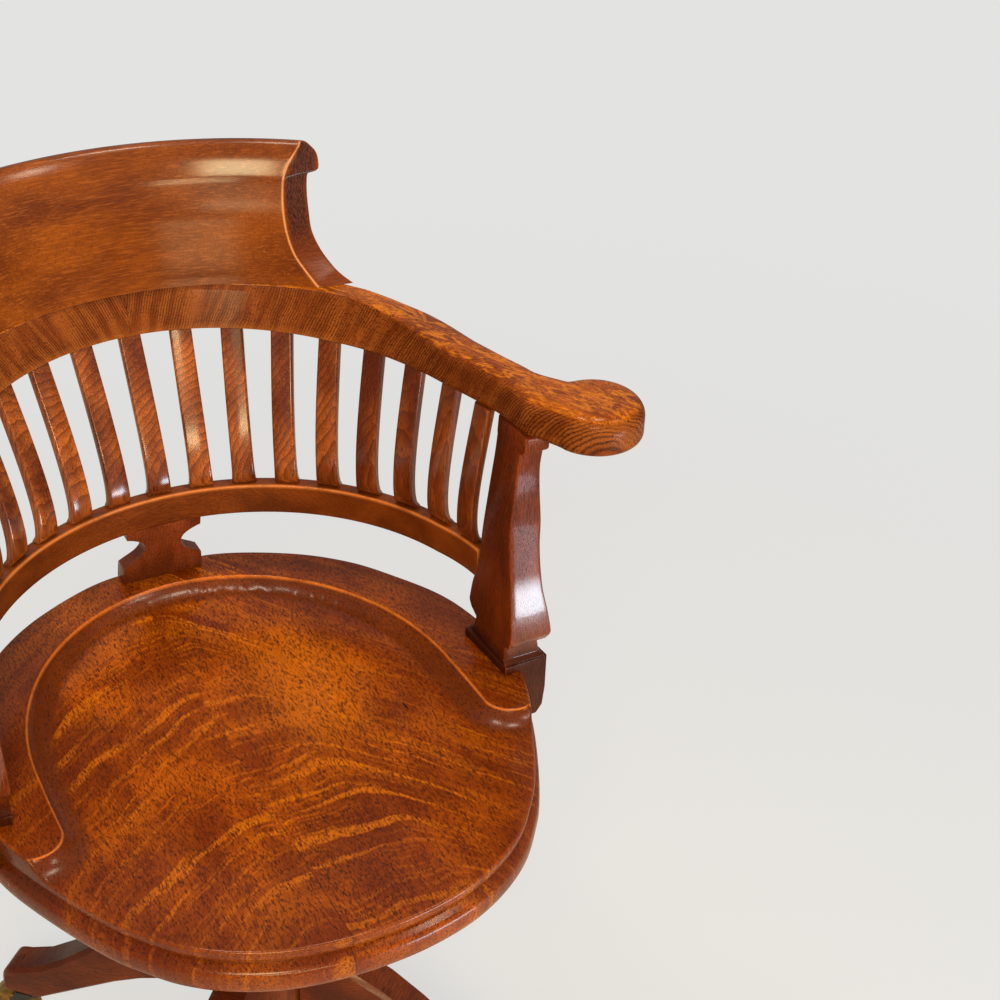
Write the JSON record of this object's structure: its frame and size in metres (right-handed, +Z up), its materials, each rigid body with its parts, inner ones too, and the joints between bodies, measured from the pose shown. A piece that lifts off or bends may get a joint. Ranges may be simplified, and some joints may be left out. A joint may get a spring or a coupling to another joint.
{
  "type": "bankers swivel chair",
  "caption": "Oak swivel armchair with a spindled horseshoe back, scooped seat, tilting screw mechanism and legs on castors.",
  "frame": {"origin": "on the floor, under the middle of the whole chair's bounding box", "axes": "+Z up, the chair faces -Y, +X is on the sitter's left"},
  "size_m": [0.6502, 0.6048, 0.854],
  "materials": {
    "seat_oak": "polished",
    "bow_oak": "polished",
    "rail_oak": "polished",
    "post_oak": "polished",
    "base_oak": "satin",
    "castor_brass": "worn",
    "cast_iron": "black japanned",
    "steel": "worn"
  },
  "bodies": {
    "base": {"hub": "base_oak", "hub_lining": "cast_iron", "spindle_key": "steel", "leg_1": "base_oak", "leg_2": "base_oak", "leg_3": "base_oak", "leg_4": "base_oak"},
    "spindle": {"spindle": "steel"},
    "handwheel": {"handwheel": "cast_iron"},
    "yoke": {"tilt_yoke": "cast_iron", "tilt_pin": "steel", "set_screw": "steel", "spring_left": "steel", "spring_right": "steel"},
    "castor_1": {"castor_horn_1": "cast_iron", "castor_axle_1": "steel"},
    "wheel_1": {"castor_wheel_1": "castor_brass"},
    "castor_2": {"castor_horn_2": "cast_iron", "castor_axle_2": "steel"},
    "wheel_2": {"castor_wheel_2": "castor_brass"},
    "castor_3": {"castor_horn_3": "cast_iron", "castor_axle_3": "steel"},
    "wheel_3": {"castor_wheel_3": "castor_brass"},
    "castor_4": {"castor_horn_4": "cast_iron", "castor_axle_4": "steel"},
    "wheel_4": {"castor_wheel_4": "castor_brass"},
    "seat": {"seat": "seat_oak", "crest_rail": "bow_oak", "arm_right": "bow_oak", "arm_left": "bow_oak", "lower_rail": "rail_oak", "centre_block": "rail_oak", "post_right": "post_oak", "post_left": "post_oak", "slat_01": "rail_oak", "slat_02": "rail_oak", "slat_03": "rail_oak", "slat_04": "rail_oak", "slat_05": "rail_oak", "slat_06": "rail_oak", "slat_07": "rail_oak", "slat_08": "rail_oak", "slat_09": "rail_oak", "slat_10": "rail_oak", "slat_11": "rail_oak", "slat_12": "rail_oak", "slat_13": "rail_oak", "slat_14": "rail_oak", "slat_15": "rail_oak", "slat_16": "rail_oak", "slat_17": "rail_oak", "seat_iron": "cast_iron", "tension_rod_left": "steel", "tension_nut_left": "cast_iron", "tension_rod_right": "steel", "tension_nut_right": "cast_iron", "seat_screw_1": "steel", "seat_screw_2": "steel", "seat_screw_3": "steel", "seat_screw_4": "steel"}
  },
  "joints": [
    {"name": "handwheel_turn", "type": "hinge", "parent": "base", "child": "handwheel", "pos_m": [0, -0.03636, 0.265], "axis": [0, 0, 1], "range_deg": [-900, 3000]},
    {"name": "seat_height", "type": "slide", "parent": "base", "child": "spindle", "axis": [0, 0, 1], "range_m": [-0.015, 0.05]},
    {"name": "seat_swivel", "type": "hinge", "parent": "spindle", "child": "yoke", "pos_m": [0, -0.03636, 0.345], "axis": [0, 0, 1], "continuous": true},
    {"name": "seat_tilt", "type": "hinge", "parent": "yoke", "child": "seat", "pos_m": [0, -0.02136, 0.392], "axis": [-1, 0, 0], "range_deg": [0, 12], "stiffness_Nm_per_rad": 200, "springref_deg": -11.46, "deforming": ["spring_left", "spring_right"]},
    {"name": "castor_1_swivel", "type": "hinge", "parent": "base", "child": "castor_1", "pos_m": [0.17961, 0.14324, 0.056], "axis": [0, 0, 1], "continuous": true},
    {"name": "castor_1_roll", "type": "hinge", "parent": "castor_1", "child": "wheel_1", "pos_m": [0.19516, 0.1588, 0.025], "axis": [-0.7071, 0.7071, 0], "continuous": true},
    {"name": "castor_2_swivel", "type": "hinge", "parent": "base", "child": "castor_2", "pos_m": [-0.17961, 0.14324, 0.056], "axis": [0, 0, 1], "continuous": true},
    {"name": "castor_2_roll", "type": "hinge", "parent": "castor_2", "child": "wheel_2", "pos_m": [-0.19516, 0.1588, 0.025], "axis": [-0.7071, -0.7071, 0], "continuous": true},
    {"name": "castor_3_swivel", "type": "hinge", "parent": "base", "child": "castor_3", "pos_m": [-0.17961, -0.21597, 0.056], "axis": [0, 0, 1], "continuous": true},
    {"name": "castor_3_roll", "type": "hinge", "parent": "castor_3", "child": "wheel_3", "pos_m": [-0.19516, -0.23152, 0.025], "axis": [0.7071, -0.7071, 0], "continuous": true},
    {"name": "castor_4_swivel", "type": "hinge", "parent": "base", "child": "castor_4", "pos_m": [0.17961, -0.21597, 0.056], "axis": [0, 0, 1], "continuous": true},
    {"name": "castor_4_roll", "type": "hinge", "parent": "castor_4", "child": "wheel_4", "pos_m": [0.19516, -0.23152, 0.025], "axis": [0.7071, 0.7071, 0], "continuous": true}
  ],
  "couplings": [
    {"joint": "seat_height", "follows": "handwheel_turn", "m_per_rad": 0.00095493}
  ]
}
